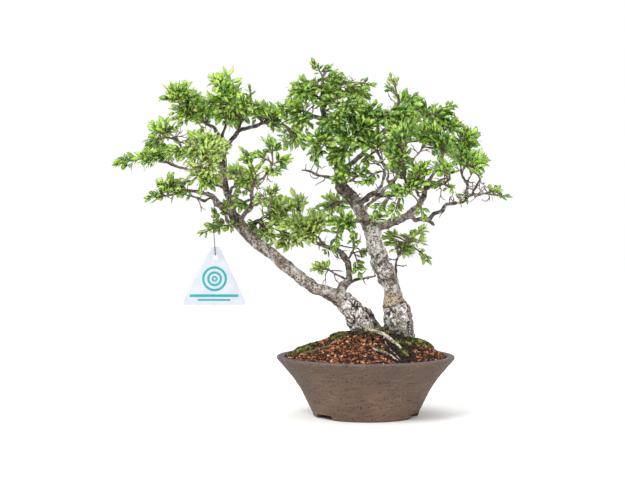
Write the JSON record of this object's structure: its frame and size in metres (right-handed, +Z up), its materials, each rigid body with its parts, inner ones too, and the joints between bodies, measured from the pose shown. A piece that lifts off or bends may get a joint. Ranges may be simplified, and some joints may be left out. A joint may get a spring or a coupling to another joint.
{
  "type": "bonsai tree",
  "caption": "Chinese elm bonsai with leaning trunks and small toothed leaves, in a round flared stoneware pot with soil, moss and a plastic hang tag",
  "frame": {"origin": "on the table surface, under the middle of the whole object's box; the pot stands to the right of it because the crown leans to the left", "axes": "+X runs to the viewer's right along the longest side, +Z is up, and the front is -Y"},
  "size_m": [0.4581, 0.2321, 0.406],
  "materials": {
    "stoneware": "matte",
    "soil_grain": "matte",
    "net_plastic": "matte",
    "bark": "matte",
    "leaf_lime": "satin",
    "leaf_green": "satin",
    "moss_green": "matte",
    "tag_plastic": "satin",
    "hook_wire": "satin"
  },
  "bodies": {
    "root": {"drainage_mesh": "net_plastic", "leaves_inner_back": "leaf_green", "leaves_inner_front": "leaf_green", "leaves_inner_high": "leaf_green", "leaves_inner_short": "leaf_green", "leaves_left_high_front": "leaf_lime", "leaves_left_high_out": "leaf_lime", "leaves_left_inner": "leaf_lime", "leaves_left_inner_back": "leaf_lime", "leaves_left_inner_front": "leaf_lime", "leaves_left_inner_high": "leaf_lime", "leaves_left_inner_low": "leaf_lime", "leaves_left_low_front": "leaf_lime", "leaves_left_low_out": "leaf_lime", "leaves_left_middle_front": "leaf_lime", "leaves_left_middle_out": "leaf_lime", "leaves_left_outer_back": "leaf_lime", "leaves_left_top_front": "leaf_lime", "leaves_left_top_left": "leaf_lime", "leaves_left_top_middle": "leaf_lime", "leaves_left_top_right": "leaf_lime", "leaves_left_under": "leaf_lime", "leaves_middle_back": "leaf_green", "leaves_middle_front": "leaf_green", "leaves_middle_low": "leaf_green", "leaves_middle_trunk": "leaf_lime", "leaves_middle_up": "leaf_green", "leaves_right_arm_front": "leaf_green", "leaves_right_arm_inner": "leaf_green", "leaves_right_arm_up": "leaf_green", "leaves_right_back": "leaf_green", "leaves_right_back_inner": "leaf_green", "leaves_right_front": "leaf_green", "leaves_right_front_middle": "leaf_green", "leaves_right_front_up": "leaf_green", "leaves_right_low": "leaf_green", "leaves_right_reach": "leaf_green", "leaves_right_reach_back": "leaf_green", "leaves_right_reach_front": "leaf_green", "leaves_right_reach_high": "leaf_green", "leaves_right_shoulder": "leaf_green", "leaves_right_shoulder_front": "leaf_green", "leaves_right_shoulder_low": "leaf_green", "leaves_right_shoulder_out": "leaf_green", "leaves_right_trunk": "leaf_green", "leaves_top_back": "leaf_green", "leaves_top_front": "leaf_green", "leaves_top_left_front": "leaf_green", "leaves_top_left_high": "leaf_green", "leaves_top_left_low": "leaf_green", "leaves_top_right_front": "leaf_green", "moss_left": "moss_green", "moss_middle": "moss_green", "moss_right": "moss_green", "pot": "stoneware", "soil": "soil_grain", "tag": "tag_plastic", "tag_hook": "hook_wire", "tree": "bark"}
  },
  "joints": []
}
